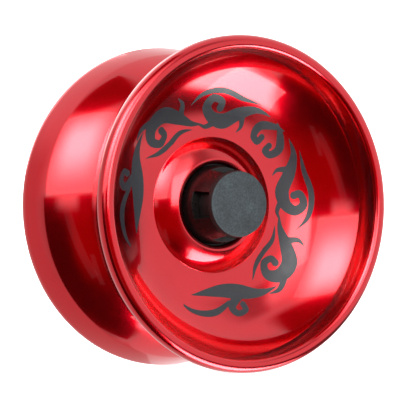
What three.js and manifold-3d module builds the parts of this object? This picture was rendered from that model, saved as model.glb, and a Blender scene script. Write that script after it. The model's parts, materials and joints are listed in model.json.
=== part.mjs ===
// Ball-bearing yo-yo: two turned aluminium halves on an M4 axle stud, with a bearing between them.
//
// Millimetres, +Z up. The axle lies along Y and the origin is the middle of the string gap, on the axle.
// Sizes of a half are given as s, the distance from the gap's middle, and r, the distance from the axle.
// The two halves are mirror images.
// FRONT is the half at -Y and BACK is the half at +Y.

import * as THREE from 'three';
import { mergeVertices } from 'three/addons/utils/BufferGeometryUtils.js';
import Module from 'manifold-3d';

const wasm = await Module();
wasm.setup();

const FRONT = { name: 'front', side: -1 };
const BACK = { name: 'back', side: 1 };
const HALVES = [FRONT, BACK];

// Fits
const SEAT_GAP = 0.05; // between parts that rest on each other
const SLIP_GAP = 0.1; // round the outside of a part in its bore

// Facets round the axle
const SHELL_FACETS = 40;
const HUB_FACETS = 32;
const BEARING_FACETS = 40;
const SMALL_FACETS = 20;
const BALL_DETAIL = 1;

// Rim of a half: a round bead with a narrow flat land, from a crowned outer edge to the cup's straight wall
const RIM_R = 27.5;
const RIM_CROWN = { s: 12.83, radius: 2.2, toDeg: 13.4 };
const RIM_CORNER_RADIUS = 1.25;
const RIM_LIP_RADIUS = 0.8;
const CUP_WALL_R = 25.2;

// Flank of a half: one arc from the gap to a sharp edge, where the rim's outer band begins
const GAP_S = 1.0;
const FLANK_START_R = 11.9;
const FLANK_EDGE = { s: 8.5, r: 26.05 };

// Cup of a half: a straight wall down from the rim's lip, a bowl whose arc has the flank's centre, so that the
// metal is equally thick all the way, and a raised boss round the hub hole
const CUP_FLOOR_S = 2.25;
const BOSS_R = 11.35;
const BOSS_BULGE = 0.2;
const BOSS_LIP = { s: 3.45, radius: 0.8, fromDeg: 72 };
const HUB_HOLE_R = 6.8;

// Recess on the gap side, which takes the hub's flange and the response pad
const RECESS = { s: 2.6, r: 9.7 };

// Ball bearing, size C: 1/4 x 1/2 x 3/16 inch
const BEARING = { bore: 6.35, outer: 12.7, width: 4.7625 };
const BALL_COUNT = 8;
const BALL_RADIUS = 1.0;
const BALL_PLAY = 0.06;
const RACE_INNER_SHOULDER_R = 4.15;
const RACE_OUTER_SHOULDER_R = 5.4;
const SHIELD = { inner: 4.35, outer: 5.8, s: 1.86, thickness: 0.12 };
const SNAP_RING = { inner: 5.5, outer: 5.8, s: 2.03, thickness: 0.16, openDeg: 34 };
const SHIELD_STEP = { s: 1.81, r: 5.87 };
const CAGE = { inner: 4.42, outer: 5.12, halfWidth: 1.45, pocketPlay: 0.12 };

// Hub core: the moulded post that carries the bearing seat, the pad, the axle nut and the cap
const CORE_FLANGE = { s: 1.9, r: 9.6 };
const BEARING_SEAT = { r: 6.6, wall: 0.6, s: 2.65 };
const CORE_BASE_R = 6.58;
const CORE_BASE_S = 3.6;
const CORE_END_S = 9.6;
const WEB_S = 4.2;
const SOCKET_S = 5.8;
const SOCKET_R = 4.9;
const WINDOW = { count: 4, spanDeg: 44 };

// Hub cap: closes the core, and its skirt is the back of the core's windows
const CAP_FACE = { s: 10.6, r: 5.37, chamfer: 0.2 };
const CAP_SKIRT = { outer: 4.8, inner: 4.3 };

// Axle and its parts
const STUD = { r: 2.0, halfLength: 8, chamfer: 0.4 };
const STUD_BORE_R = 2.1;
const NUT = { flats: 7, height: 3.2, chamferDeg: 30 };
const NUT_POCKET_FLATS = 7.2;
const SPACER = { postR: 3.1, postS: 0.1, flangeR: 3.9, flange: 0.5 };

const PAD = { inner: 7.3, outer: 9.5, s: 1.02, bead: 0.15 };

const HALF_BEARING = BEARING.width / 2;
const BALL_PITCH_R = (BEARING.bore + BEARING.outer) / 4;
const SPACER_SHOULDER_S = HALF_BEARING + SEAT_GAP;
const SPACER_END_S = SPACER_SHOULDER_S + SPACER.flange;

const materials = {
  anodised: material(0xc3101f, 0.24, 0.9),
  hubPlastic: material(0x1b1816, 0.38, 0.0),
  capPlastic: material(0x51585c, 0.7, 0.0),
  steel: material(0xb4b6b8, 0.28, 1.0),
  plated: material(0xc9c6bd, 0.35, 1.0),
  brass: material(0xb8954a, 0.32, 1.0),
  silicone: material(0xd8d6d0, 0.75, 0.0),
};

function material(color, roughness, metalness) {
  return new THREE.MeshStandardMaterial({ color, roughness, metalness });
}

// ---------------------------------------------------------------------------
// Outlines: lists of [s, r] points
// ---------------------------------------------------------------------------

// An arc round (s, r). Angles are in degrees from the outward radius towards +s.
function arc(s, r, radius, fromDeg, toDeg, steps) {
  const points = [];
  for (let i = 0; i <= steps; i += 1) {
    const angle = THREE.MathUtils.degToRad(fromDeg + ((toDeg - fromDeg) * i) / steps);
    points.push([s + radius * Math.sin(angle), r + radius * Math.cos(angle)]);
  }
  return points;
}

// A shallow arc between two points. Its middle stands off the chord by bulge, to the left of the way along
// it with s across and r up.
function bow([s0, r0], [s1, r1], bulge, steps) {
  const chord = Math.hypot(s1 - s0, r1 - r0);
  const points = [];
  for (let i = 0; i <= steps; i += 1) {
    const t = i / steps;
    const offset = (4 * bulge * t * (1 - t)) / chord;
    points.push([s0 + (s1 - s0) * t - (r1 - r0) * offset, r0 + (r1 - r0) * t + (s1 - s0) * offset]);
  }
  return points;
}

// An arc round the flank's centre, from the radius at which it leaves s0 square to the axle out to endR.
function flankArc(s0, endR, steps) {
  const rise = FLANK_EDGE.s - GAP_S;
  const run = FLANK_EDGE.r - FLANK_START_R;
  const flankRadius = (rise * rise + run * run) / (2 * rise);
  const radius = GAP_S + flankRadius - s0;
  const turnDeg = THREE.MathUtils.radToDeg(Math.asin((endR - FLANK_START_R) / radius));
  return arc(s0 + radius, FLANK_START_R, radius, -90, turnDeg - 90, steps);
}

function rimOutline() {
  const crownR = RIM_R - RIM_CROWN.radius;
  const toEdge = [RIM_CROWN.s - FLANK_EDGE.s, crownR - FLANK_EDGE.r];
  const reach = Math.hypot(...toEdge);
  const lean = Math.atan2(-toEdge[1], toEdge[0]) - Math.asin(RIM_CROWN.radius / reach);
  const crown = [
    ...arc(RIM_CROWN.s, crownR, RIM_CROWN.radius, THREE.MathUtils.radToDeg(lean), 0, 2),
    ...arc(RIM_CROWN.s, crownR, RIM_CROWN.radius, 0, RIM_CROWN.toDeg, 1).slice(1),
  ];
  const turn = THREE.MathUtils.degToRad(RIM_CROWN.toDeg);
  const inset = RIM_CROWN.radius - RIM_CORNER_RADIUS;
  const cornerS = RIM_CROWN.s + inset * Math.sin(turn);
  const cornerR = crownR + inset * Math.cos(turn);
  const corner = arc(cornerS, cornerR, RIM_CORNER_RADIUS, RIM_CROWN.toDeg, 90, 4).slice(1);
  const lipS = cornerS + RIM_CORNER_RADIUS - RIM_LIP_RADIUS;
  const lip = arc(lipS, CUP_WALL_R + RIM_LIP_RADIUS, RIM_LIP_RADIUS, 90, 180, 3);
  return [...crown, ...corner, ...lip];
}

function bossOutline() {
  const lipR = HUB_HOLE_R + BOSS_LIP.radius;
  const lip = arc(BOSS_LIP.s, lipR, BOSS_LIP.radius, BOSS_LIP.fromDeg, 180, 3);
  const slope = bow([CUP_FLOOR_S, BOSS_R], lip[0], BOSS_BULGE, 2).slice(0, -1);
  return [...slope, ...lip];
}

function shellOutline() {
  return [
    [GAP_S, RECESS.r],
    ...flankArc(GAP_S, FLANK_EDGE.r, 5),
    ...rimOutline(),
    ...flankArc(CUP_FLOOR_S, CUP_WALL_R, 6).reverse(),
    ...bossOutline(),
    [RECESS.s, HUB_HOLE_R],
    [RECESS.s, RECESS.r],
  ];
}

// The core's outside tapers in one straight line from its base, through its end, to the cap's face.
function coreRadiusAt(s) {
  const share = (s - CORE_BASE_S) / (CAP_FACE.s - CORE_BASE_S);
  return CORE_BASE_R + (CAP_FACE.r - CORE_BASE_R) * share;
}

function coreOutline() {
  const seatWallR = BEARING_SEAT.r + BEARING_SEAT.wall;
  const flangeTopS = RECESS.s - SEAT_GAP;
  const pocketR = SPACER.flangeR + SLIP_GAP;
  const pocketS = SPACER_END_S + SEAT_GAP;
  return [
    [GAP_S, BEARING_SEAT.r],
    [GAP_S, seatWallR],
    [CORE_FLANGE.s, seatWallR],
    [CORE_FLANGE.s, CORE_FLANGE.r],
    [flangeTopS, CORE_FLANGE.r],
    [flangeTopS, CORE_BASE_R],
    [CORE_BASE_S, CORE_BASE_R],
    [CORE_END_S, coreRadiusAt(CORE_END_S)],
    [CORE_END_S, SOCKET_R],
    [SOCKET_S, SOCKET_R],
    [SOCKET_S, STUD_BORE_R],
    [pocketS, STUD_BORE_R],
    [pocketS, pocketR],
    [BEARING_SEAT.s, pocketR],
    [BEARING_SEAT.s, BEARING_SEAT.r],
  ];
}

function capOutline() {
  const discS = CORE_END_S + SEAT_GAP;
  return [
    [discS, 0],
    [discS, CAP_SKIRT.inner],
    [SOCKET_S + SEAT_GAP, CAP_SKIRT.inner],
    [SOCKET_S + SEAT_GAP, CAP_SKIRT.outer],
    [discS, CAP_SKIRT.outer],
    [discS, coreRadiusAt(discS)],
    [CAP_FACE.s - CAP_FACE.chamfer, coreRadiusAt(CAP_FACE.s - CAP_FACE.chamfer)],
    [CAP_FACE.s, CAP_FACE.r - CAP_FACE.chamfer],
    [CAP_FACE.s, 0],
  ];
}

function spacerOutline() {
  return [
    [SPACER.postS, STUD_BORE_R],
    [SPACER.postS, SPACER.postR],
    [SPACER_SHOULDER_S, SPACER.postR],
    [SPACER_SHOULDER_S, SPACER.flangeR],
    [SPACER_END_S, SPACER.flangeR],
    [SPACER_END_S, STUD_BORE_R],
  ];
}

function padOutline() {
  const backS = CORE_FLANGE.s - SEAT_GAP;
  return [
    [backS, PAD.inner],
    [PAD.s + PAD.bead, PAD.inner],
    [PAD.s, PAD.inner + PAD.bead],
    [PAD.s, PAD.outer - PAD.bead],
    [PAD.s + PAD.bead, PAD.outer],
    [backS, PAD.outer],
  ];
}

function studOutline() {
  const end = STUD.halfLength;
  return [
    [-end, 0],
    [-end, STUD.r - STUD.chamfer],
    [STUD.chamfer - end, STUD.r],
    [end - STUD.chamfer, STUD.r],
    [end, STUD.r - STUD.chamfer],
    [end, 0],
  ];
}

// The ball groove in a race: the part of a circle round the ball's centre that is past the shoulder.
function grooveOutline(shoulderR, steps) {
  const radius = BALL_RADIUS + BALL_PLAY;
  const direction = Math.sign(shoulderR - BALL_PITCH_R);
  const halfDeg = THREE.MathUtils.radToDeg(Math.acos(Math.abs(shoulderR - BALL_PITCH_R) / radius));
  const middleDeg = direction > 0 ? 0 : 180;
  return arc(0, BALL_PITCH_R, radius, middleDeg - halfDeg, middleDeg + halfDeg, steps);
}

function innerRaceOutline() {
  const bore = BEARING.bore / 2;
  return [
    [-HALF_BEARING, bore],
    [HALF_BEARING, bore],
    [HALF_BEARING, RACE_INNER_SHOULDER_R],
    ...grooveOutline(RACE_INNER_SHOULDER_R, 4),
    [-HALF_BEARING, RACE_INNER_SHOULDER_R],
  ];
}

function outerRaceOutline() {
  const outside = BEARING.outer / 2;
  return [
    [-HALF_BEARING, outside],
    [-HALF_BEARING, SHIELD_STEP.r],
    [-SHIELD_STEP.s, SHIELD_STEP.r],
    [-SHIELD_STEP.s, RACE_OUTER_SHOULDER_R],
    ...grooveOutline(RACE_OUTER_SHOULDER_R, 4),
    [SHIELD_STEP.s, RACE_OUTER_SHOULDER_R],
    [SHIELD_STEP.s, SHIELD_STEP.r],
    [HALF_BEARING, SHIELD_STEP.r],
    [HALF_BEARING, outside],
  ];
}

function ringOutline(inner, outer, s0, s1) {
  return [
    [s0, inner],
    [s0, outer],
    [s1, outer],
    [s1, inner],
  ];
}

// ---------------------------------------------------------------------------
// Solids
// ---------------------------------------------------------------------------

function signedVolume(position, index) {
  const a = new THREE.Vector3();
  const b = new THREE.Vector3();
  const c = new THREE.Vector3();
  let total = 0;
  for (let i = 0; i < index.length; i += 3) {
    a.fromBufferAttribute(position, index[i]);
    b.fromBufferAttribute(position, index[i + 1]);
    c.fromBufferAttribute(position, index[i + 2]);
    total += a.dot(b.cross(c)) / 6;
  }
  return total;
}

// Welds a geometry's shared corners, drops the triangles that this leaves with no area, and turns
// its faces outwards.
function welded(geometry) {
  geometry.deleteAttribute('normal');
  geometry.deleteAttribute('uv');
  const merged = mergeVertices(geometry, 1e-4);
  const source = merged.index.array;
  const index = [];
  for (let i = 0; i < source.length; i += 3) {
    const [a, b, c] = [source[i], source[i + 1], source[i + 2]];
    if (a !== b && b !== c && c !== a) index.push(a, b, c);
  }
  if (signedVolume(merged.attributes.position, index) < 0) index.reverse();
  merged.setIndex(index);
  return merged;
}

// Turns an outline round the axle. side is 1 for the back half and -1 for the front half.
function revolved(outline, facets, side = 1) {
  const points = outline.map(([s, r]) => new THREE.Vector2(r, side * s));
  const closesOnAxis = outline[0][1] === 0 && outline.at(-1)[1] === 0;
  if (!closesOnAxis) points.push(points[0].clone());
  return welded(new THREE.LatheGeometry(points, facets));
}

// Extrudes a flat shape along the axle from s0 to s1. The shape's x and y become X and Z.
function extrudedAlongAxle(shape, s0, s1, side, curveSegments) {
  const geometry = new THREE.ExtrudeGeometry(shape, { depth: s1 - s0, bevelEnabled: false, curveSegments });
  geometry.rotateX(Math.PI / 2);
  geometry.translate(0, side > 0 ? s1 : -s0, 0);
  return welded(geometry);
}

function manifoldOf(geometry) {
  const vertProperties = new Float32Array(geometry.attributes.position.array);
  const triVerts = new Uint32Array(geometry.index.array);
  return new wasm.Manifold(new wasm.Mesh({ numProp: 3, vertProperties, triVerts }));
}

function geometryOf(manifold) {
  const mesh = manifold.getMesh();
  const geometry = new THREE.BufferGeometry();
  geometry.setAttribute('position', new THREE.BufferAttribute(mesh.vertProperties, mesh.numProp));
  geometry.setIndex(new THREE.BufferAttribute(mesh.triVerts, 1));
  return geometry;
}

function cut(geometry, ...tools) {
  const result = tools.reduce((rest, tool) => rest.subtract(manifoldOf(tool)), manifoldOf(geometry));
  return geometryOf(result);
}

// ---------------------------------------------------------------------------
// Shapes drawn across the axle
// ---------------------------------------------------------------------------

function hexagon(acrossFlats) {
  const cornerR = acrossFlats / Math.sqrt(3);
  const corners = [];
  for (let i = 0; i < 6; i += 1) {
    const angle = (Math.PI / 3) * i;
    corners.push(new THREE.Vector2(cornerR * Math.cos(angle), cornerR * Math.sin(angle)));
  }
  return new THREE.Shape(corners);
}

function sector(inner, outer, middleDeg, spanDeg) {
  const from = THREE.MathUtils.degToRad(middleDeg - spanDeg / 2);
  const to = THREE.MathUtils.degToRad(middleDeg + spanDeg / 2);
  const shape = new THREE.Shape();
  shape.absarc(0, 0, outer, from, to, false);
  shape.absarc(0, 0, inner, to, from, true);
  shape.closePath();
  return shape;
}

// ---------------------------------------------------------------------------
// Pieces
// ---------------------------------------------------------------------------

function hubCore(side) {
  const body = revolved(coreOutline(), HUB_FACETS, side);
  const nutPocket = extrudedAlongAxle(hexagon(NUT_POCKET_FLATS), WEB_S, CORE_END_S, side);
  const windows = [];
  for (let i = 0; i < WINDOW.count; i += 1) {
    const middleDeg = (360 / WINDOW.count) * i;
    const opening = sector(SOCKET_R - 0.5, CORE_BASE_R + 1, middleDeg, WINDOW.spanDeg);
    windows.push(extrudedAlongAxle(opening, SOCKET_S, CORE_END_S + 1, side, 4));
  }
  return cut(body, nutPocket, ...windows);
}

// A hexagon whose corners are turned down to a cone at both ends.
function axleNut(side) {
  const s0 = WEB_S + SEAT_GAP;
  const s1 = s0 + NUT.height;
  const cornerR = NUT.flats / Math.sqrt(3);
  const flatR = NUT.flats / 2;
  const fall = (cornerR - flatR) * Math.tan(THREE.MathUtils.degToRad(NUT.chamferDeg));
  const turned = [
    [s0, 0],
    [s0, flatR],
    [s0 + fall, cornerR],
    [s1 - fall, cornerR],
    [s1, flatR],
    [s1, 0],
  ];
  const blank = manifoldOf(extrudedAlongAxle(hexagon(NUT.flats), s0, s1, side));
  const bore = [
    [s0 - 1, 0],
    [s0 - 1, STUD_BORE_R],
    [s1 + 1, STUD_BORE_R],
    [s1 + 1, 0],
  ];
  const shaped = blank.intersect(manifoldOf(revolved(turned, SMALL_FACETS, side)));
  return geometryOf(shaped.subtract(manifoldOf(revolved(bore, SMALL_FACETS, side))));
}

function snapRing(side) {
  const ring = sector(SNAP_RING.inner, SNAP_RING.outer, 0, 360 - SNAP_RING.openDeg);
  return extrudedAlongAxle(ring, SNAP_RING.s, SNAP_RING.s + SNAP_RING.thickness, side, 14);
}

function ballPosition(number) {
  const angle = (2 * Math.PI * number) / BALL_COUNT;
  return new THREE.Vector3(BALL_PITCH_R * Math.sin(angle), 0, BALL_PITCH_R * Math.cos(angle));
}

function ballCage() {
  const width = CAGE.halfWidth;
  const ring = revolved(ringOutline(CAGE.inner, CAGE.outer, -width, width), BEARING_FACETS);
  const pockets = [];
  for (let i = 0; i < BALL_COUNT; i += 1) {
    const pocket = new THREE.IcosahedronGeometry(BALL_RADIUS + CAGE.pocketPlay, BALL_DETAIL);
    const { x, y, z } = ballPosition(i);
    pocket.translate(x, y, z);
    pockets.push(welded(pocket));
  }
  return cut(ring, ...pockets);
}

const yoyo = new THREE.Group();

function add(name, geometry, surface) {
  const mesh = new THREE.Mesh(geometry, surface);
  mesh.name = name;
  yoyo.add(mesh);
  return mesh;
}

function addHalf({ name, side }) {
  add(`shell_${name}`, revolved(shellOutline(), SHELL_FACETS, side), materials.anodised);
  add(`hub_core_${name}`, hubCore(side), materials.hubPlastic);
  add(`hub_cap_${name}`, revolved(capOutline(), HUB_FACETS, side), materials.capPlastic);
  add(`response_pad_${name}`, revolved(padOutline(), HUB_FACETS, side), materials.silicone);
  add(`axle_nut_${name}`, axleNut(side), materials.plated);
  add(`spacer_${name}`, revolved(spacerOutline(), SMALL_FACETS, side), materials.brass);
}

function addBearing() {
  add('bearing_outer_race', revolved(outerRaceOutline(), BEARING_FACETS), materials.steel);
  add('bearing_inner_race', revolved(innerRaceOutline(), BEARING_FACETS), materials.steel);
  add('ball_cage', ballCage(), materials.brass);
  for (let i = 0; i < BALL_COUNT; i += 1) {
    const sphere = welded(new THREE.IcosahedronGeometry(BALL_RADIUS, BALL_DETAIL));
    add(`ball_${i + 1}`, sphere, materials.steel).position.copy(ballPosition(i));
  }
  for (const { name, side } of HALVES) {
    const shield = ringOutline(SHIELD.inner, SHIELD.outer, SHIELD.s, SHIELD.s + SHIELD.thickness);
    add(`shield_${name}`, revolved(shield, BEARING_FACETS, side), materials.plated);
    add(`snap_ring_${name}`, snapRing(side), materials.steel);
  }
}

HALVES.forEach(addHalf);
add('axle_stud', revolved(studOutline(), SMALL_FACETS), materials.plated);
addBearing();

export default yoyo;
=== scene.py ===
import json
import math

import bmesh
import bpy
import numpy as np
from mathutils import Matrix, Quaternion, Vector


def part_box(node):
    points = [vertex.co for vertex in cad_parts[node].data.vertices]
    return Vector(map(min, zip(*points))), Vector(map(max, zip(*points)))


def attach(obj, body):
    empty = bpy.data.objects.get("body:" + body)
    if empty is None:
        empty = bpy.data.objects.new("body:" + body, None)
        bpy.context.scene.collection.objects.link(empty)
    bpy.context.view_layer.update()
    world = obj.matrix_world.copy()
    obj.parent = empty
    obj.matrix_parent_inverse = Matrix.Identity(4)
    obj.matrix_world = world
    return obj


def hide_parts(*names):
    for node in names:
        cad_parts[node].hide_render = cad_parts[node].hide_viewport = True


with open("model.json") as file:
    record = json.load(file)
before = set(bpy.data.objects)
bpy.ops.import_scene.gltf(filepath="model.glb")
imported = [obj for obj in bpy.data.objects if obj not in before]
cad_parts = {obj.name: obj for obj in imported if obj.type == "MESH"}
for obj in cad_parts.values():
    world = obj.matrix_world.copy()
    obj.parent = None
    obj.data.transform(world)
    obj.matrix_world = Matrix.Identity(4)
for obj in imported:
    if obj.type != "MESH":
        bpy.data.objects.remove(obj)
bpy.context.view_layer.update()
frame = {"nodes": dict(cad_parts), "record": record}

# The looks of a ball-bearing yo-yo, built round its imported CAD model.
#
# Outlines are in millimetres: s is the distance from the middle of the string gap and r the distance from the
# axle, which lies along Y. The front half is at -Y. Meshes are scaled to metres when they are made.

MM = 0.001
HALVES = {"front": -1, "back": 1}


def span(node):
    """A CAD node's nearest s, farthest s and outer radius, in millimetres."""
    low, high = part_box(node)
    near, far = sorted((abs(low.y), abs(high.y)))
    return near / MM, far / MM, high.z / MM


# ---------------------------------------------------------------------------
# Sizes that the CAD model sets
# ---------------------------------------------------------------------------

GAP_S, RIM_S, RIM_R = span("shell_front")
_, CORE_END_S, FLANGE_R = span("hub_core_front")
SKIRT_S, CAP_FACE_S, _ = span("hub_cap_front")
PAD_S, PAD_BACK_S, PAD_OUTER_R = span("response_pad_front")
SPACER_POST_S, SPACER_END_S, SPACER_R = span("spacer_front")
_, STUD_END_S, STUD_R = span("axle_stud")
_, RACE_S, RACE_R = span("bearing_outer_race")
_, _, INNER_SHOULDER_R = span("bearing_inner_race")
SHIELD_S, SHIELD_END_S, SHIELD_R = span("shield_front")
SNAP_S, SNAP_END_S, SNAP_R = span("snap_ring_front")
_, CAGE_S, CAGE_R = span("ball_cage")
BALL_COUNT = sum(name.startswith("ball_") and name[5:].isdigit() for name in frame["nodes"])

# ---------------------------------------------------------------------------
# Sizes inside the outlines, as in the CAD model
# ---------------------------------------------------------------------------

CROWN = {"s": 12.83, "radius": 2.2, "to": 13.4}
RIM_CORNER = 1.25
RIM_LIP = 0.8
FLANK_START_R = 11.9
FLANK_EDGE = (8.5, 26.05)
CUP_FLOOR_S = 2.25
CUP_WALL_R = 25.2
CUP_FOOT_RADIUS = 0.4
BOSS_R = 11.35
BOSS_BULGE = 0.2
BOSS_LIP = {"s": 3.45, "radius": 0.8, "from": 72}
HUB_HOLE_R = 6.8
RECESS = (2.6, 9.7)

SEAT_R = 6.6
SEAT_WALL = 0.6
SEAT_S = 2.65
FLANGE_S = 1.9
FLANGE_TOP_S = 2.55
CORE_BASE = (3.6, 6.58)
CAP_FACE_R = 5.37
WEB_S = 4.2
SOCKET = (5.8, 4.9)
NUT_POCKET_FLATS = 7.2
WINDOWS = 4
WINDOW_SPAN = 44
SKIRT = (4.3, 4.8)
STUD_BORE_R = 2.1
SPACER_POST_R = 3.1
SPACER_POCKET = (2.98, 4.0)
PAD_INNER_R = 7.3

BEARING_BORE_R = 3.175
BALL_R = 1.0
GROOVE_R = 1.06
BALL_PITCH_R = (BEARING_BORE_R + RACE_R) / 2
OUTER_SHOULDER_R = 5.4
SHIELD_STEP = (1.81, 5.87)
SHIELD_INNER_R = 4.35
SNAP_INNER_R = 5.5
SNAP_OPEN = 34
CAGE_INNER_R = 4.42
CAGE_POCKET_R = 1.12
THREAD_PITCH = 0.7
THREAD_DEPTH = 0.32

# Steps round a turned piece, and the radii of its edges
FINE = 192
MEDIUM = 96
EDGE = 0.08
CORE_EDGE = 0.2
CAGE_EDGE = 0.04

# ---------------------------------------------------------------------------
# Outlines: lists of (s, r)
# ---------------------------------------------------------------------------


def arc(s, r, radius, start, end, steps):
    """An arc round (s, r). Angles are in degrees from the outward radius towards +s."""
    angles = np.radians(np.linspace(start, end, steps + 1))
    return [(s + radius * math.sin(a), r + radius * math.cos(a)) for a in angles]


def bow(start, end, bulge, steps):
    """A shallow arc between two points, whose middle stands off the chord by bulge."""
    ds, dr = end[0] - start[0], end[1] - start[1]
    chord = math.hypot(ds, dr)
    points = []
    for t in np.linspace(0, 1, steps + 1):
        offset = 4 * bulge * t * (1 - t) / chord
        points.append((start[0] + ds * t - dr * offset, start[1] + dr * t + ds * offset))
    return points


def softened(outline, radius=EDGE, wider=None, steps=4, least_turn=20):
    """Rounds the corners of a closed outline. wider gives some corners a radius of their own."""
    points = [Vector(p) for p in outline]
    result = []
    for i, corner in enumerate(points):
        before, after = points[i - 1] - corner, points[(i + 1) % len(points)] - corner
        opening = before.angle(after)
        if corner.y == 0 or math.degrees(math.pi - opening) < least_turn:
            result.append(tuple(corner))
            continue
        wanted = (wider or {}).get(outline[i], radius)
        reach = min(wanted / math.tan(opening / 2), 0.45 * before.length, 0.45 * after.length)
        bend = reach * math.tan(opening / 2)
        middle = (before.normalized() + after.normalized()).normalized()
        centre = corner + middle * (bend / math.sin(opening / 2))
        start = corner + before.normalized() * reach - centre
        end = corner + after.normalized() * reach - centre
        for t in np.linspace(0, 1, steps + 1):
            spoke = start.lerp(end, float(t)).normalized() * bend
            result.append(tuple(centre + spoke))
    return result


def flank_arc(start_s, end_r, steps):
    """An arc round the flank's centre, from start_s, where it is square to the axle, out to end_r."""
    rise = FLANK_EDGE[0] - GAP_S
    run = FLANK_EDGE[1] - FLANK_START_R
    flank_radius = (rise * rise + run * run) / (2 * rise)
    radius = GAP_S + flank_radius - start_s
    turn = math.degrees(math.asin((end_r - FLANK_START_R) / radius))
    return arc(start_s + radius, FLANK_START_R, radius, -90, turn - 90, steps)


def rim_outline():
    crown_r = RIM_R - CROWN["radius"]
    to_edge = (CROWN["s"] - FLANK_EDGE[0], crown_r - FLANK_EDGE[1])
    lean = math.atan2(-to_edge[1], to_edge[0]) - math.asin(CROWN["radius"] / math.hypot(*to_edge))
    crown = arc(CROWN["s"], crown_r, CROWN["radius"], math.degrees(lean), CROWN["to"], 16)
    inset = CROWN["radius"] - RIM_CORNER
    corner_s = CROWN["s"] + inset * math.sin(math.radians(CROWN["to"]))
    corner_r = crown_r + inset * math.cos(math.radians(CROWN["to"]))
    corner = arc(corner_s, corner_r, RIM_CORNER, CROWN["to"], 90, 20)[1:]
    lip = arc(RIM_S - RIM_LIP, CUP_WALL_R + RIM_LIP, RIM_LIP, 90, 180, 18)
    return crown + corner + lip


def boss_outline():
    lip_r = HUB_HOLE_R + BOSS_LIP["radius"]
    lip = arc(BOSS_LIP["s"], lip_r, BOSS_LIP["radius"], BOSS_LIP["from"], 180, 16)
    slope = bow((CUP_FLOOR_S, BOSS_R), lip[0], BOSS_BULGE, 12)[1:-1]
    return slope + lip


def shell_outline():
    flank = flank_arc(GAP_S, FLANK_EDGE[1], 40)
    bowl = flank_arc(CUP_FLOOR_S, CUP_WALL_R, 48)[::-1]
    floor_end = (CUP_FLOOR_S, BOSS_R)
    hole_end = (RECESS[0], HUB_HOLE_R)
    outline = [
        (GAP_S, RECESS[1]),
        *flank,
        *rim_outline(),
        *bowl,
        floor_end,
        *boss_outline(),
        hole_end,
        RECESS,
    ]
    return softened(outline, wider={floor_end: 0.3, bowl[0]: CUP_FOOT_RADIUS})


def core_radius(s):
    """The hub post tapers in one straight line from its base to the cap's face."""
    share = (s - CORE_BASE[0]) / (CAP_FACE_S - CORE_BASE[0])
    return CORE_BASE[1] + (CAP_FACE_R - CORE_BASE[1]) * share


def groove(shoulder_r, steps=10):
    """The part of the ball's track that is cut into a race, past the race's shoulder."""
    direction = math.copysign(1, shoulder_r - BALL_PITCH_R)
    half = math.degrees(math.acos(abs(shoulder_r - BALL_PITCH_R) / GROOVE_R))
    middle = 0 if direction > 0 else 180
    return arc(0, BALL_PITCH_R, GROOVE_R, middle - half, middle + half, steps)


# ---------------------------------------------------------------------------
# Meshes
# ---------------------------------------------------------------------------


def round_axle(radius, angle, y):
    """A place at an angle round the axle, in radians from +Z towards +X."""
    return (radius * math.sin(angle), y, radius * math.cos(angle))


def new_object(name, bm, sharp=34):
    """Makes an object of a bmesh in millimetres, scaled to metres, with smooth shading up to an angle."""
    bmesh.ops.remove_doubles(bm, verts=bm.verts, dist=1e-5)
    bmesh.ops.recalc_face_normals(bm, faces=bm.faces)
    bmesh.ops.scale(bm, verts=bm.verts, vec=(MM, MM, MM))
    mesh = bpy.data.meshes.new(name)
    bm.to_mesh(mesh)
    bm.free()
    mesh.shade_smooth()
    mesh.set_sharp_from_angle(angle=math.radians(sharp))
    made = bpy.data.objects.new(name, mesh)
    bpy.context.scene.collection.objects.link(made)
    return made


def spun(bm, outline, angles, side, closed=True):
    """Adds the faces that an outline sweeps between the given angles, in degrees from +Z towards +X."""
    rings = []
    for angle in np.radians(angles):
        rings.append([bm.verts.new(round_axle(r, angle, side * s)) for s, r in outline])
    count = len(outline)
    for first, second in zip(rings, rings[1:]):
        for i in range(count if closed else count - 1):
            j = (i + 1) % count
            on_axis = outline[i][1] < 1e-6, outline[j][1] < 1e-6
            if all(on_axis):
                continue
            corners = [first[i], first[j], second[j], second[i]]
            if on_axis[0]:
                corners.remove(second[i])
            if on_axis[1]:
                corners.remove(second[j])
            bm.faces.new(corners)
    return rings


def turned(name, outline, segments, side=1):
    """A solid of revolution round the axle."""
    bm = bmesh.new()
    spun(bm, outline, np.linspace(0, 360, segments + 1), side)
    return new_object(name, bm)


def without(piece, *tools):
    """Cuts the tools out of a piece and deletes them."""
    for tool in tools:
        cut = piece.modifiers.new("cut", "BOOLEAN")
        cut.operation = "DIFFERENCE"
        cut.solver = "EXACT"
        cut.object = tool
    evaluated = piece.evaluated_get(bpy.context.evaluated_depsgraph_get())
    mesh = bpy.data.meshes.new_from_object(evaluated)
    piece.modifiers.clear()
    piece.data = mesh
    for tool in tools:
        bpy.data.objects.remove(tool)
    mesh.shade_smooth()
    mesh.set_sharp_from_angle(angle=math.radians(30))
    return piece


def round_edges(piece, width):
    """Gives a moulded piece's sharp edges a radius."""
    bevel = piece.modifiers.new("moulded_edges", "BEVEL")
    bevel.width = width * MM
    bevel.segments = 3
    bevel.angle_limit = math.radians(35)
    bevel.harden_normals = True
    return piece


def hexagon_prism(name, flats, near, far, side):
    bm = bmesh.new()
    corner_r = flats / math.sqrt(3)
    turns = [math.radians(60 * i + 90) for i in range(6)]
    rings = []
    for s in (near, far):
        rings.append([bm.verts.new(round_axle(corner_r, turn, side * s)) for turn in turns])
    for i in range(6):
        j = (i + 1) % 6
        bm.faces.new([rings[0][i], rings[0][j], rings[1][j], rings[1][i]])
    bm.faces.new(rings[0])
    bm.faces.new(rings[1])
    return new_object(name, bm)


# ---------------------------------------------------------------------------
# Pieces
# ---------------------------------------------------------------------------


def make_shell(name, side):
    return turned(name, shell_outline(), FINE, side)


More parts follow.
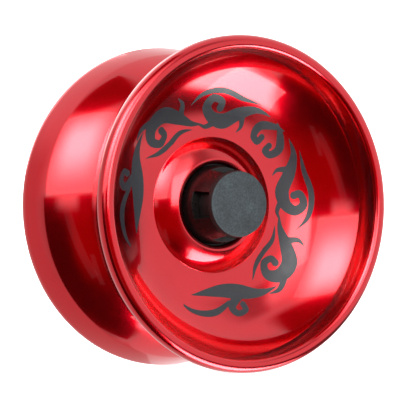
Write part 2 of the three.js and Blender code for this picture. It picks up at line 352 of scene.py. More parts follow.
def hub_core_sweeps():
    """The angles of each stretch of the post, in turn: a window, then the leg after it, and so on."""
    edges = []
    for i in range(WINDOWS):
        middle = i * 360 / WINDOWS
        edges += [middle - WINDOW_SPAN / 2, middle + WINDOW_SPAN / 2]
    edges.append(edges[0] + 360)
    step = 360 / MEDIUM
    return [np.linspace(start, end, round((end - start) / step) + 1) for start, end in zip(edges, edges[1:])]


def make_hub_core(name, side):
    """The moulded post: a base all round and, above it, four legs with a window between each two."""
    socket_s, socket_r = SOCKET
    base = [
        (socket_s, STUD_BORE_R),
        (SPACER_POCKET[0], STUD_BORE_R),
        SPACER_POCKET,
        (SEAT_S, SPACER_POCKET[1]),
        (SEAT_S, SEAT_R),
        (GAP_S, SEAT_R),
        (GAP_S, SEAT_R + SEAT_WALL),
        (FLANGE_S, SEAT_R + SEAT_WALL),
        (FLANGE_S, FLANGE_R),
        (FLANGE_TOP_S, FLANGE_R),
        (FLANGE_TOP_S, CORE_BASE[1]),
        CORE_BASE,
        (socket_s, core_radius(socket_s)),
        (socket_s, socket_r),
    ]
    leg = [
        (socket_s, core_radius(socket_s)),
        (CORE_END_S, core_radius(CORE_END_S)),
        (CORE_END_S, socket_r),
        (socket_s, socket_r),
    ]
    bm = bmesh.new()
    sweeps = hub_core_sweeps()
    angles = [angle for sweep in sweeps for angle in sweep[:-1]]
    angles.append(angles[0] + 360)
    spun(bm, base[:-2], angles, side, closed=False)
    spun(bm, [base[-1], base[0]], angles, side, closed=False)
    for i, sweep in enumerate(sweeps):
        spun(bm, [base[-3], base[-2]], sweep, side, closed=False)
        is_window = i % 2 == 0
        if is_window:
            spun(bm, [base[-2], base[-1]], sweep, side, closed=False)
        else:
            rings = spun(bm, leg, sweep, side, closed=False)
            bm.faces.new(rings[0])
            bm.faces.new(rings[-1])
    core = new_object(name, bm)
    pocket = hexagon_prism("nut_pocket", NUT_POCKET_FLATS, WEB_S, socket_s + 1, side)
    return round_edges(without(core, pocket), CORE_EDGE)


def make_hub_cap(name, side):
    disc_s = CORE_END_S + 0.05
    outline = [
        (disc_s, 0),
        (disc_s, SKIRT[0]),
        (SKIRT_S, SKIRT[0]),
        (SKIRT_S, SKIRT[1]),
        (disc_s, SKIRT[1]),
        (disc_s, core_radius(disc_s)),
        (CAP_FACE_S, CAP_FACE_R),
        (CAP_FACE_S, 0),
    ]
    return turned(name, softened(outline, wider={(CAP_FACE_S, CAP_FACE_R): 0.16}), MEDIUM, side)


def make_response_pad(name, side):
    outline = [
        (PAD_BACK_S, PAD_INNER_R),
        (PAD_S, PAD_INNER_R),
        (PAD_S, PAD_OUTER_R),
        (PAD_BACK_S, PAD_OUTER_R),
    ]
    return turned(name, softened(outline, 0.2), MEDIUM, side)


def make_spacer(name, side):
    outline = [
        (SPACER_POST_S, STUD_BORE_R),
        (SPACER_POST_S, SPACER_POST_R),
        (RACE_S + 0.05, SPACER_POST_R),
        (RACE_S + 0.05, SPACER_R),
        (SPACER_END_S, SPACER_R),
        (SPACER_END_S, STUD_BORE_R),
    ]
    return turned(name, softened(outline), MEDIUM, side)


def make_shield(name, side):
    """A stamped ring with a shallow pressed groove round its middle."""
    middle_r, groove_half = (SHIELD_INNER_R + SHIELD_R) / 2, 0.3
    dent = 0.04
    outline = [
        (SHIELD_S, SHIELD_INNER_R),
        (SHIELD_END_S, SHIELD_INNER_R),
        (SHIELD_END_S, middle_r - groove_half),
        (SHIELD_END_S - dent, middle_r - groove_half / 2),
        (SHIELD_END_S - dent, middle_r + groove_half / 2),
        (SHIELD_END_S, middle_r + groove_half),
        (SHIELD_END_S, SHIELD_R),
        (SHIELD_S, SHIELD_R),
    ]
    return turned(name, softened(outline, 0.03), MEDIUM, side)


def make_snap_ring(name, side):
    section = [(SNAP_S, SNAP_INNER_R), (SNAP_END_S, SNAP_INNER_R), (SNAP_END_S, SNAP_R), (SNAP_S, SNAP_R)]
    sweep = np.linspace(90 + SNAP_OPEN / 2, 450 - SNAP_OPEN / 2, MEDIUM)
    bm = bmesh.new()
    rings = spun(bm, softened(section, 0.05), [180 - a for a in sweep], side)
    bm.faces.new(rings[0])
    bm.faces.new(rings[-1])
    return new_object(name, bm)


def make_stud():
    """The threaded stud: rings whose radius follows a right-hand V thread, run out at both chamfers."""
    per_turn, around = 10, 40
    count = round(2 * STUD_END_S / THREAD_PITCH * per_turn)
    chamfer = 0.4
    rings = [[(-STUD_END_S, 0.0)] * (around + 1)]
    for y in np.linspace(-STUD_END_S, STUD_END_S, count + 1):
        limit = STUD_R - max(0.0, chamfer - (STUD_END_S - abs(y)))
        ring = []
        for k in range(around + 1):
            phase = (y / THREAD_PITCH + k / around) % 1
            ring.append((y, min(limit, STUD_R - THREAD_DEPTH * abs(2 * phase - 1))))
        rings.append(ring)
    rings.append([(STUD_END_S, 0.0)] * (around + 1))
    bm = bmesh.new()
    grid = []
    for ring in rings:
        turns = [2 * math.pi * k / around for k in range(around + 1)]
        grid.append([bm.verts.new(round_axle(r, turn, y)) for (y, r), turn in zip(ring, turns)])
    for first, second in zip(grid, grid[1:]):
        for k in range(around):
            bm.faces.new([first[k], first[k + 1], second[k + 1], second[k]])
    bmesh.ops.remove_doubles(bm, verts=bm.verts, dist=1e-5)
    bmesh.ops.dissolve_degenerate(bm, edges=bm.edges, dist=1e-5)
    return new_object("stud", bm)


def make_outer_race():
    outline = [
        (-RACE_S, RACE_R),
        (-RACE_S, SHIELD_STEP[1]),
        (-SHIELD_STEP[0], SHIELD_STEP[1]),
        (-SHIELD_STEP[0], OUTER_SHOULDER_R),
        *groove(OUTER_SHOULDER_R),
        (SHIELD_STEP[0], OUTER_SHOULDER_R),
        SHIELD_STEP,
        (RACE_S, SHIELD_STEP[1]),
        (RACE_S, RACE_R),
    ]
    wider = {(-RACE_S, RACE_R): 0.25, (RACE_S, RACE_R): 0.25}
    return turned("outer_race", softened(outline, 0.05, wider), FINE)


def make_inner_race():
    outline = [
        (-RACE_S, BEARING_BORE_R),
        (RACE_S, BEARING_BORE_R),
        (RACE_S, INNER_SHOULDER_R),
        *groove(INNER_SHOULDER_R),
        (-RACE_S, INNER_SHOULDER_R),
    ]
    return turned("inner_race", softened(outline, 0.12), MEDIUM)


def ball_angle(number):
    return 2 * math.pi * number / BALL_COUNT


def make_ball(name, number):
    bm = bmesh.new()
    bmesh.ops.create_uvsphere(bm, u_segments=32, v_segments=16, radius=BALL_R)
    bmesh.ops.translate(bm, verts=bm.verts, vec=round_axle(BALL_PITCH_R, ball_angle(number), 0))
    return new_object(name, bm)


def cage_loops(per_side=12, steps=3):
    """One ball's share of the cage, as loops of (angle, s) with a radius each.

    They run from the border of its outer face, through the round pocket, to the border of its inner face.
    """
    half = math.pi / BALL_COUNT
    along = np.linspace(-1, 1, per_side + 1)[:-1]
    border = [(half, CAGE_S * t) for t in along]
    border += [(-half * t, CAGE_S) for t in along]
    border += [(-half, -CAGE_S * t) for t in along]
    border += [(half * t, -CAGE_S) for t in along]
    border = np.array(border)
    headings = np.arctan2(border[:, 1], border[:, 0] * BALL_PITCH_R)

    def pocket(radius):
        """Where the pocket, a sphere round the ball, meets the cylinder of a radius."""
        reach = math.sqrt(CAGE_POCKET_R**2 - (radius - BALL_PITCH_R) ** 2)
        turns = 2 * np.arcsin(reach * np.cos(headings) / (2 * math.sqrt(radius * BALL_PITCH_R)))
        return np.column_stack([turns, reach * np.sin(headings)])

    shares = np.linspace(0, 1, steps + 1)
    rim_out, rim_in = pocket(CAGE_R), pocket(CAGE_INNER_R)
    loops = [(CAGE_R, border + (rim_out - border) * t) for t in shares]
    loops += [(radius, pocket(radius)) for radius in np.linspace(CAGE_R, CAGE_INNER_R, 2 * steps + 1)[1:-1]]
    loops += [(CAGE_INNER_R, rim_in + (border - rim_in) * t) for t in shares]
    return loops


def make_cage():
    """A ring with a round pocket for each ball, built face by face, because a cut can leave scraps here."""
    bm = bmesh.new()
    loops = cage_loops()
    _, border = loops[0]
    for number in range(BALL_COUNT):
        middle = ball_angle(number)
        rings = []
        for radius, loop in loops:
            rings.append([bm.verts.new(round_axle(radius, middle + turn, s)) for turn, s in loop])
        outer, inner = rings[0], rings[-1]
        for first, second in zip(rings, rings[1:]):
            for k in range(len(border)):
                bm.faces.new([first[k - 1], first[k], second[k], second[k - 1]])
        for k in range(len(border)):
            on_end_face = border[k - 1][1] == border[k][1]
            if on_end_face:
                bm.faces.new([outer[k], outer[k - 1], inner[k - 1], inner[k]])
    return round_edges(new_object("cage", bm), CAGE_EDGE)


# ---------------------------------------------------------------------------
# Ornament: scrolls printed round the floor of each cup, the two sides of its middle mirror images
# ---------------------------------------------------------------------------

BAND_MIDDLE_R = 16.0
BAND = (12.5, 19.7)
ORNAMENT_MIDDLE = -44  # degrees clockwise from the right of the front cup
ORNAMENT_HALF_SPAN = 157
PRINT_GRID = 0.12
PRINT_PROUD = 0.02

# The points of a stroke: how far along the band from the stroke's start, how far out from the band's
# middle, and the stroke's half-width there.
BUD = [
    (-1.0, 2.6, 0.03),
    (1.0, 1.6, 0.55),
    (2.7, 0.2, 0.75),
    (2.6, -1.6, 0.68),
    (1.2, -2.0, 0.55),
    (1.1, -0.9, 0.6),
]
WAVE = [
    (0.0, 2.5, 0.03),
    (2.6, 1.9, 0.5),
    (5.0, 0.2, 1.05),
    (7.6, -1.75, 1.3),
    (10.2, -1.5, 1.1),
    (11.5, 0.2, 0.85),
    (10.5, 1.75, 0.66),
    (8.8, 1.3, 0.56),
    (8.9, 0.25, 0.66),
]
ECHO = [(2.4, 3.0, 0.03), (5.5, 2.6, 0.38), (9.0, 3.1, 0.46), (12.2, 2.6, 0.38), (14.6, 1.0, 0.03)]
THORN = [(9.6, -2.2, 0.55), (11.8, -2.9, 0.38), (13.6, -2.3, 0.03)]
SPUR = [(4.2, -0.3, 0.55), (3.7, -1.7, 0.36), (4.3, -3.0, 0.03)]
TAIL = [
    (0.0, 2.3, 0.03),
    (3.0, 1.2, 0.65),
    (6.2, -0.6, 1.25),
    (9.5, -1.5, 1.1),
    (13.0, -1.3, 0.6),
    (16.2, -0.4, 0.03),
]
TAIL_CURL = [(6.0, -0.4, 0.85), (8.4, 1.2, 0.66), (8.0, 2.6, 0.52), (6.5, 2.5, 0.44), (6.5, 1.5, 0.5)]
TAIL_ECHO = [(8.8, 0.6, 0.35), (12.0, 2.0, 0.55), (15.5, 2.2, 0.38), (18.2, 1.4, 0.03)]

# Where each group of strokes starts along the band, and 1 or -1 for its outer side turned out or in.
ORNAMENT = [
    (0.0, 1, [BUD]),
    (2.2, 1, [WAVE, ECHO, THORN, SPUR]),
    (14.6, -1, [WAVE, ECHO, THORN, SPUR]),
    (26.4, 1, [TAIL, TAIL_CURL, TAIL_ECHO]),
]


def smooth_stroke(points, steps=14):
    """A smooth line through the points, as an array of rows."""
    knots = np.array(points, float)
    knots = np.vstack([2 * knots[0] - knots[1], knots, 2 * knots[-1] - knots[-2]])
    t = np.arange(steps)[:, None] / steps
    pieces = []
    for a, b, c, d in zip(knots, knots[1:], knots[2:], knots[3:]):
        bend = (2 * a - 5 * b + 4 * c - d) * t**2 + (3 * b - a - 3 * c + d) * t**3
        pieces.append(b + ((c - a) * t + bend) / 2)
    return np.vstack([*pieces, points[-1]])


class Print:
    """A drawing on the cup's floor: the distance to the drawn shapes, on a grid of angles and radii."""

    def __init__(self):
        reach = math.radians(ORNAMENT_HALF_SPAN)
        self.along = np.arange(-reach, reach, PRINT_GRID / BAND_MIDDLE_R)
        self.radii = np.arange(*BAND, PRINT_GRID)
        self.distance = np.full((len(self.along), len(self.radii)), 1.0)

    def dot(self, u, v, radius):
        """Adds a dot at u along the band from the ornament's middle and v out from the band's middle."""
        reach = radius + 2 * PRINT_GRID
        us, vs = self.along * BAND_MIDDLE_R, self.radii - BAND_MIDDLE_R
        i0, i1 = np.searchsorted(us, (u - reach, u + reach))
        j0, j1 = np.searchsorted(vs, (v - reach, v + reach))
        gap = np.hypot(us[i0:i1, None] - u, vs[None, j0:j1] - v) - radius
        self.distance[i0:i1, j0:j1] = np.minimum(self.distance[i0:i1, j0:j1], gap)

    def stroke(self, points, start, outward):
        """Adds a stroke and its mirror image, as a row of dots."""
        line = smooth_stroke(points)
        places = np.concatenate([[0], np.cumsum(np.hypot(*np.diff(line[:, :2], axis=0).T))])
        for place in np.arange(0, places[-1], 0.05):
            u, v, half = (np.interp(place, places, column) for column in line.T)
            if half > 0.03:
                self.dot(start + u, outward * v, half)
                self.dot(-start - u, outward * v, half)


def draw_ornament():
    drawing = Print()
    for start, outward, strokes in ORNAMENT:
        for points in strokes:
            drawing.stroke(points, start, outward)
    return drawing


def marched(field):
    """The faces of the area where field is negative: grid places, with the border cut along its zero line."""
    faces = []
    corners = ((0, 0), (1, 0), (1, 1), (0, 1))
    inside = field < 0
    cells = inside[:-1, :-1] | inside[1:, :-1] | inside[1:, 1:] | inside[:-1, 1:]
    for i, j in np.argwhere(cells):
        face = []
        for k in range(4):
            a = (i + corners[k][0], j + corners[k][1])
            b = (i + corners[(k + 1) % 4][0], j + corners[(k + 1) % 4][1])
            if inside[a]:
                face.append(a)
            if inside[a] != inside[b]:
                share = field[a] / (field[a] - field[b])
                face.append((a[0] + (b[0] - a[0]) * share, a[1] + (b[1] - a[1]) * share))
        faces.append(face)
    return faces


def cup_surface(radii):
    """Height s of the bowl at some radii, and how steeply it rises there."""
    outline = np.array(flank_arc(CUP_FLOOR_S, CUP_WALL_R, 400))
    s = np.interp(radii, outline[:, 1], outline[:, 0])
    slope = np.gradient(outline[:, 0], outline[:, 1])
    return s, np.interp(radii, outline[:, 1], slope)


def print_layers(bm, side, drawing, places):
    """The vertices of the print's outer and inner faces, just above and just below the bowl."""
    grid = np.array(places, float)
    angles = np.interp(grid[:, 0], np.arange(len(drawing.along)), drawing.along)
    angles += math.radians(ORNAMENT_MIDDLE)
    radii = np.interp(grid[:, 1], np.arange(len(drawing.radii)), drawing.radii)
    s, slope = cup_surface(radii)
    lean = 1 / np.hypot(1, slope)
    layers = []
    for proud in (PRINT_PROUD, -PRINT_PROUD):
        heights = s + proud * lean
        shifted = radii - proud * lean * slope
        layer = []
        for r, angle, height in zip(shifted, angles, heights):
            layer.append(bm.verts.new((r * math.cos(angle), side * height, side * r * math.sin(angle))))
        layers.append(layer)
    return layers


def make_print(name, side, drawing):
    """The drawing as a thin solid that follows the bowl and stands a little proud of it."""
    faces = marched(drawing.distance)
    places = sorted({point for face in faces for point in face})
    number = {point: k for k, point in enumerate(places)}
    bm = bmesh.new()
    outer, inner = print_layers(bm, side, drawing, places)
    edges = {}
    for face in faces:
        keys = [number[point] for point in face]
        bm.faces.new([outer[k] for k in keys])
        bm.faces.new([inner[k] for k in reversed(keys)])
        edges.update(dict.fromkeys(zip(keys, keys[1:] + keys[:1])))
    for a, b in edges:
        on_border = (b, a) not in edges
        if on_border:
            bm.faces.new([outer[b], outer[a], inner[a], inner[b]])
    return new_object(name, bm, sharp=50)


# ---------------------------------------------------------------------------
# Materials
# ---------------------------------------------------------------------------


def new_material(name, **values):
    """A Principled material. values are socket names, with _ for a space, and their constants."""
    material = bpy.data.materials.new(name)
    material.use_nodes = True
    surface = material.node_tree.nodes["Principled BSDF"]
    for socket, value in values.items():
        surface.inputs[socket.replace("_", " ")].default_value = value
    return material, material.node_tree, surface


def add_node(tree, kind, settings=None, **links):
    """A shader node. settings are its properties; links give its inputs a socket or a constant."""
    node = tree.nodes.new(f"ShaderNode{kind}")
    for key, value in (settings or {}).items():
        setattr(node, key, value)
    for key, value in links.items():
        socket = node.inputs[int(key[1:]) if key[1:].isdigit() else key.replace("_", " ")]
        if isinstance(value, bpy.types.NodeSocket):
            tree.links.new(value, socket)
        else:
            socket.default_value = value
    return node


def object_place(tree):
    return add_node(tree, "TexCoord").outputs["Object"]


def ring_place(tree):
    """Radius from the axle and place along it, so that a texture read there makes rings."""
    parts = add_node(tree, "SeparateXYZ", Vector=object_place(tree))
    across = add_node(tree, "CombineXYZ", X=parts.outputs["X"], Z=parts.outputs["Z"])
    radius = add_node(tree, "VectorMath", {"operation": "LENGTH"}, Vector=across.outputs["Vector"])
    return add_node(tree, "CombineXYZ", X=radius.outputs["Value"], Y=parts.outputs["Y"]).outputs["Vector"]


def noise(tree, place, size_mm, detail=2.0):
    """Noise whose blotches are about size_mm across, from 0 to 1."""
    scale = 1 / (size_mm * MM)
    return add_node(tree, "TexNoise", Vector=place, Scale=scale, Detail=detail).outputs["Fac"]


def spread(tree, value, low, high, from_low=0.3, from_high=0.7):
    """The value, spread from one range to another. Noise mostly lies between 0.3 and 0.7."""
    limits = {"From_Min": from_low, "From_Max": from_high, "To_Min": low, "To_Max": high}
    return add_node(tree, "MapRange", Value=value, **limits).outputs["Result"]


def shade_mix(tree, value, first, second):
    ramp = add_node(tree, "ValToRGB", Fac=value)
    ramp.color_ramp.elements[0].color = (*first, 1)
    ramp.color_ramp.elements[1].color = (*second, 1)
    return ramp.outputs["Color"]


def mixed(tree, share, first, second, blend="MIX"):
    """One colour laid over another by a share."""
    settings = {"data_type": "RGBA", "blend_type": blend}
    return add_node(tree, "Mix", settings, Factor=share, _6=first, _7=second).outputs[2]


def coloured(tree, surface, value, first, second):
    """Colours the surface between two colours, by a noise."""
    colour = shade_mix(tree, spread(tree, value, 0.0, 1.0), first, second)
    tree.links.new(colour, surface.inputs["Base Color"])


def roughened(tree, surface, value, low, high):
    """Sets the surface's roughness between two values, by a noise."""
    tree.links.new(spread(tree, value, low, high), surface.inputs["Roughness"])


def bumped(tree, surface, height, depth_mm, below=None):
    """Raises the surface by height times depth_mm, on top of another bump."""
    bump = add_node(tree, "Bump", Height=height, Distance=depth_mm * MM, Strength=1.0)
    if below is not None:
        tree.links.new(below, bump.inputs["Normal"])
    tree.links.new(bump.outputs["Normal"], surface.inputs["Normal"])
    return bump.outputs["Normal"]


def anodised():
    """Red anodised aluminium: softly blurring metal with faint turned rings, under a clear glossy layer."""
    material, tree, surface = new_material(
        "anodised_red", Metallic=1.0, Coat_Weight=1.0, Coat_Roughness=0.045, Coat_IOR=1.5
    )
    rings, place = ring_place(tree), object_place(tree)
    coloured(tree, surface, noise(tree, place, 9.0, 3.0), (0.50, 0.0008, 0.008), (0.55, 0.0014, 0.011))
    roughened(tree, surface, noise(tree, place, 2.5, 3.0), 0.18, 0.22)
    marks = bumped(tree, surface, noise(tree, rings, 0.25, 1.0), 0.00005)
    marks = bumped(tree, surface, noise(tree, place, 0.35, 2.0), 0.0006, marks)
    tree.links.new(marks, surface.inputs["Coat Normal"])
    return material


def hub_plastic():
    """Black moulded plastic, fairly glossy, with the fine mottle of a sparked mould."""
    material, tree, surface = new_material("hub_plastic", Specular_IOR_Level=0.3)
    place = object_place(tree)
    mottle = noise(tree, place, 0.35, 4.0)
    coloured(tree, surface, mottle, (0.0025, 0.002, 0.002), (0.006, 0.0045, 0.0045))
    roughened(tree, surface, noise(tree, place, 0.8, 3.0), 0.24, 0.42)
    bumped(tree, surface, mottle, 0.006)
    return material


def cap_plastic():
    """Plastic cap with a dark grey, matte, speckled, unevenly worn skin on its end face. Its sides are
    painted near-black: painted shade, for the skirt seen down in the windows.
    """
    material, tree, surface = new_material("cap_plastic", Specular_IOR_Level=0.4)
    place = object_place(tree)
    speck = noise(tree, place, 0.3, 5.0)
    skin = shade_mix(tree, spread(tree, speck, 0.0, 1.0), (0.006, 0.011, 0.0135), (0.024, 0.034, 0.039))
    wear = spread(tree, noise(tree, place, 2.4, 3.0), 0.0, 1.0)
    worn = shade_mix(tree, wear, (0.7, 0.7, 0.7), (1.4, 1.4, 1.4))
    skin = mixed(tree, 1.0, skin, worn, "MULTIPLY")
    # Painted shade: faces square to the axle get the grey skin and all sides get near-black, so the skirt
    # looks shaded in the windows.
    normal = add_node(tree, "TexCoord").outputs["Normal"]
    along_axle = add_node(tree, "SeparateXYZ", Vector=normal).outputs["Y"]
    facing = add_node(tree, "Math", {"operation": "ABSOLUTE"}, _0=along_axle).outputs[0]
    face_over_painted_shade = spread(tree, facing, 0.0, 1.0, 0.6, 0.9)
    colour = mixed(tree, face_over_painted_shade, (0.004, 0.003, 0.003, 1), skin)
    tree.links.new(colour, surface.inputs["Base Color"])
    roughened(tree, surface, noise(tree, place, 1.2, 3.0), 0.5, 0.68)
    bumped(tree, surface, speck, 0.008)
    return material


def silicone():
    """Soft off-white silicone, a little see-through, with a faint grip texture."""
    material, tree, surface = new_material(
        "silicone", Roughness=0.5, Subsurface_Weight=0.25, Subsurface_Scale=0.0008
    )
    place = object_place(tree)
    grain = noise(tree, place, 0.3, 3.0)
    coloured(tree, surface, noise(tree, place, 3.0), (0.66, 0.65, 0.61), (0.74, 0.73, 0.70))
    roughened(tree, surface, grain, 0.42, 0.6)
    bumped(tree, surface, grain, 0.01)
    return material


def turned_metal(name, dark, light, rough, ring_mm=0.1):
    """A bare turned metal: rings in its gloss and height, and a faint change of tint."""
    material, tree, surface = new_material(name, Metallic=1.0)
    rings, place = ring_place(tree), object_place(tree)
    coloured(tree, surface, noise(tree, place, 2.0, 3.0), dark, light)
    roughened(tree, surface, noise(tree, rings, ring_mm * 3, 3.0), *rough)
    bumped(tree, surface, noise(tree, rings, ring_mm), 0.002)
    return material


def print_ink():
    """The ornament's dark grey print: satin, thin, with a fine speckle."""
    material, tree, surface = new_material("ornament_print", Specular_IOR_Level=0.5)
    place = object_place(tree)
    speck = noise(tree, place, 0.16, 4.0)
    coloured(tree, surface, speck, (0.006, 0.009, 0.0125), (0.013, 0.017, 0.022))
    roughened(tree, surface, noise(tree, place, 1.0, 3.0), 0.3, 0.42)
    bumped(tree, surface, speck, 0.003)
    return material


MATERIALS = {
    "anodised": anodised(),
    "hub_plastic": hub_plastic(),
    "cap_plastic": cap_plastic(),
    "silicone": silicone(),
    "plated_steel": turned_metal("plated_steel", (0.52, 0.51, 0.47), (0.66, 0.65, 0.62), (0.22, 0.36)),
    "bearing_steel": turned_metal("bearing_steel", (0.56, 0.57, 0.58), (0.66, 0.67, 0.68), (0.1, 0.2), 0.06),
    "brass": turned_metal("brass", (0.58, 0.40, 0.14), (0.70, 0.50, 0.20), (0.2, 0.34)),
}
PRINT_INK = print_ink()

# ---------------------------------------------------------------------------
# Assembly
# ---------------------------------------------------------------------------

BODY_OF = {node: body for body, nodes in frame["record"]["behaviour"]["bodies"].items() for node in nodes}
SLOT_OF = {row["node"]: row["material_slot"] for row in frame["record"]["subparts"]}


def painted(piece, material):
    piece.data.materials.clear()
    piece.data.materials.append(material)


def stand_for(piece, node):
    """The piece takes a CAD node's place: its name, its body, its slot and its finish."""
    piece.name = f"{node}_fine"
    painted(piece, MATERIALS[SLOT_OF[node]])
    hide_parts(node)
    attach(piece, BODY_OF[node])


def build_half(label, side, drawing):
    makers = {
        "shell": make_shell,
        "hub_core": make_hub_core,
        "hub_cap": make_hub_cap,
        "response_pad": make_response_pad,
        "spacer": make_spacer,
        "shield": make_shield,
        "snap_ring": make_snap_ring,
    }
    for kind, make in makers.items():
        node = f"{kind}_{label}"
        stand_for(make(node, side), node)
    ornament = make_print(f"ornament_{label}", side, drawing)
    painted(ornament, PRINT_INK)
    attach(ornament, BODY_OF[f"shell_{label}"])


def build_bearing():
    stand_for(make_outer_race(), "bearing_outer_race")
    stand_for(make_inner_race(), "bearing_inner_race")
    stand_for(make_cage(), "ball_cage")
    for i in range(BALL_COUNT):
        stand_for(make_ball(f"ball_{i + 1}", i), f"ball_{i + 1}")


ornament_drawing = draw_ornament()
for half, direction in HALVES.items():
    build_half(half, direction, ornament_drawing)
build_bearing()
stand_for(make_stud(), "axle_stud")
for half in HALVES:
    nut = frame["nodes"][f"axle_nut_{half}"]
    painted(nut, MATERIALS[SLOT_OF[nut.name]])

# ---------------------------------------------------------------------------
# Camera, light and floor
# ---------------------------------------------------------------------------

VIEW_TURN = 32.05  # degrees between the axle and the line of sight
VIEW_ROLL = 1.71
VIEW_DISTANCE = 11.948 * RIM_R * MM
LENS = 171.7
SENSOR = 36.0

TURN = math.radians(VIEW_TURN)
TOWARDS_CAMERA = Vector((-math.sin(TURN), -math.cos(TURN), 0))
RIGHT = Vector((math.cos(TURN), -math.sin(TURN), 0))
UP = Vector((0, 0, 1))

# The room's light by direction: white walls, and soft-edged parts laid over them in turn. A part has its
# red level, its green and blue level, and the degrees across and above where it fades in, is full, is
# still full and has faded out. The parts with much more red than green and blue stand for dark red things.
ROOM_LIGHT = (1.25, 1.25, 1.25, 1)
ROOM_PARTS = [
    (0.88, 0.62, (-200, -190, -75, -62), (-90, -80, 20, 50)),
    (0.09, 0.01, (-72, -58, 10, 24), (-200, -190, 6, 9)),
    (0.09, 0.01, (-72, -58, 28, 54), (-200, -190, -30, -12)),
    (0.45, 0.02, (-62, -50, 34, 60), (53, 61, 200, 210)),
    (0.50, 0.01, (-27, -16, 24, 50), (-50, -18, 0, 9)),
    (0.50, 0.50, (40, 46, 56, 78), (18, 26, 46, 54)),
    (0.12, 0.12, (34, 58, 130, 150), (-42, -38, -24, -12)),
    (2.2, 2.2, (4, 8, 38, 50), (28, 34, 38, 50)),
    (1.5, 1.5, (-62, -54, 12, 17), (6, 9, 50, 57)),
    (1.7, 1.7, (-42, -28, -16, -7), (-3, 5, 9, 12)),
    (10.0, 10.0, (-54, -26, -12, 19), (10, 36, 40, 60)),
    (5.2, 5.2, (12, 18, 34, 46), (-4, 10, 20, 40)),
    (8.5, 8.5, (28, 44, 98, 108), (-74, -64, -44, -36)),
]
SOFTBOXES = {
    "key": {"across": -22, "above": 33, "width": 60, "height": 49, "radiance": 1.2},
    "fill": {"across": 27, "above": 14, "width": 26, "height": 28, "radiance": 1.6},
    "table_bounce": {"across": 60, "above": -53, "width": 34, "height": 29, "radiance": 3.6},
    "rear": {"across": -145, "above": 32, "width": 40, "height": 40, "radiance": 1.5},
    "gap_between_screens": {
        "across": -17,
        "above": -19,
        "width": 9,
        "height": 42,
        "radiance": 0.16,
        "lean": 24,
    },
    "screen_edge": {"across": -2, "above": -33, "width": 5, "height": 18, "radiance": 0.16, "lean": 6},
}


def studio(across, above):
    """A direction from the object: degrees to the right of the camera, and degrees above it."""
    lon, lat = math.radians(across), math.radians(above)
    level = RIGHT * math.sin(lon) + TOWARDS_CAMERA * math.cos(lon)
    return level * math.cos(lat) + UP * math.sin(lat)


def place_camera():
    data = bpy.data.cameras.new("camera")
    data.lens = LENS
    data.sensor_width = SENSOR
    data.clip_start = 0.01
    data.clip_end = 20
    camera = bpy.data.objects.new("camera", data)
    bpy.context.scene.collection.objects.link(camera)
    roll = math.radians(VIEW_ROLL)
    right = RIGHT * math.cos(roll) - UP * math.sin(roll)
    up = RIGHT * math.sin(roll) + UP * math.cos(roll)
    turn = Matrix((right, up, TOWARDS_CAMERA)).transposed().to_4x4()
    camera.matrix_world = Matrix.Translation(TOWARDS_CAMERA * VIEW_DISTANCE) @ turn
    bpy.context.scene.camera = camera


def softbox(name, across, above, width, height, radiance, lean=0):
    """A rectangular light a metre from the object. width and height are the degrees that it fills there."""
    direction = studio(across, above)
    upright = direction.to_track_quat("Z", "Y")
    data = bpy.data.lights.new(name, "AREA")
    data.shape = "RECTANGLE"
    data.size = 2 * math.tan(math.radians(width / 2))
    data.size_y = 2 * math.tan(math.radians(height / 2))
    data.energy = radiance * math.pi * data.size * data.size_y
    light = bpy.data.objects.new(name, data)
    bpy.context.scene.collection.objects.link(light)
    light.location = direction
    light.rotation_mode = "QUATERNION"
    light.rotation_quaternion = upright @ Quaternion((0, 0, 1), math.radians(lean))
    light.visible_camera = False


def room_part(tree, lon, lat, sides, heights):
    """1 inside a part of the room and 0 outside it. sides and heights say where its soft borders lie."""
    faded = []
    for value, (low0, low1, high0, high1) in ((lon, sides), (lat, heights)):
        for start, end in ((low0, low1), (high1, high0)):
            bounds = {"From_Min": math.radians(start), "From_Max": math.radians(end)}
            soft = {"interpolation_type": "SMOOTHSTEP", "clamp": True}
            faded.append(add_node(tree, "MapRange", soft, Value=value, **bounds).outputs["Result"])
    product = faded[0]
    for factor in faded[1:]:
        product = add_node(tree, "Math", {"operation": "MULTIPLY"}, _0=product, _1=factor).outputs[0]
    return product


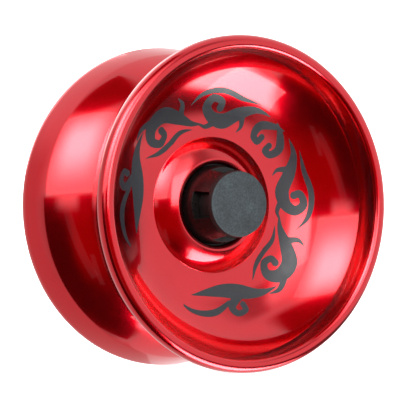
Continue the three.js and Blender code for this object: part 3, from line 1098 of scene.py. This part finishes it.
def light_room():
    """A white room with brighter, darker and red parts, and the softboxes in it."""
    world = bpy.data.worlds.new("studio")
    world.use_nodes = True
    tree = world.node_tree
    direction = add_node(tree, "TexCoord").outputs["Generated"]
    shares = []
    for axis in (RIGHT, UP, TOWARDS_CAMERA):
        dot = add_node(tree, "VectorMath", {"operation": "DOT_PRODUCT"}, _0=direction, _1=tuple(axis))
        shares.append(dot.outputs["Value"])
    rightward, upward, frontward = shares
    lon = add_node(tree, "Math", {"operation": "ARCTAN2"}, _0=rightward, _1=frontward).outputs[0]
    lat = add_node(tree, "Math", {"operation": "ARCSINE"}, _0=upward).outputs[0]
    light = ROOM_LIGHT
    for red, other, sides, heights in ROOM_PARTS:
        part = room_part(tree, lon, lat, sides, heights)
        light = mixed(tree, part, light, (red, other, other, 1))
    tree.links.new(light, tree.nodes["Background"].inputs["Color"])
    tree.nodes["Background"].inputs["Strength"].default_value = 1.0
    bpy.context.scene.world = world
    for name, place in SOFTBOXES.items():
        softbox(name, **place)


def floor_profile():
    """The floor's section in metres, as (distance out, height): flat, then an arc, then a wall."""
    flat, curve, top = 0.9, 0.6, 1.6
    profile = [(0, 0), (flat, 0)]
    for angle in np.radians(np.linspace(0, 90, 17))[1:]:
        profile.append((flat + curve * math.sin(angle), curve * (1 - math.cos(angle))))
    profile.append((flat + curve, top))
    return profile


def floor_mesh():
    profile = floor_profile()
    ground = -RIM_R * MM
    around = 96
    bm = bmesh.new()
    rings = []
    for k in range(around + 1):
        a = 2 * math.pi * k / around
        rings.append([bm.verts.new((r * math.cos(a), r * math.sin(a), ground + h)) for r, h in profile])
    for first, second in zip(rings, rings[1:]):
        for i in range(len(profile) - 1):
            corners = [first[i], first[i + 1], second[i + 1], second[i]]
            if i == 0:
                corners.remove(second[0])
            bm.faces.new(corners)
    bmesh.ops.remove_doubles(bm, verts=bm.verts, dist=1e-5)
    bmesh.ops.scale(bm, verts=bm.verts, vec=(1 / MM,) * 3)
    return bm


def pale_floor():
    """A floor that sweeps up into a wall all round. The object neither reflects it nor is lit by it."""
    floor = new_object("floor", floor_mesh(), sharp=60)
    material, tree, surface = new_material(
        "floor_white",
        Specular_IOR_Level=0.1,
        Roughness=0.8,
        Emission_Color=(1, 1, 1, 1),
        Emission_Strength=0.9,
    )
    coloured(tree, surface, noise(tree, object_place(tree), 60.0), (0.90, 0.90, 0.90), (0.93, 0.93, 0.93))
    painted(floor, material)
    floor.visible_glossy = False
    floor.visible_diffuse = False
    floor.visible_shadow = False


place_camera()
light_room()
pale_floor()
bpy.context.scene.view_settings.view_transform = "Standard"
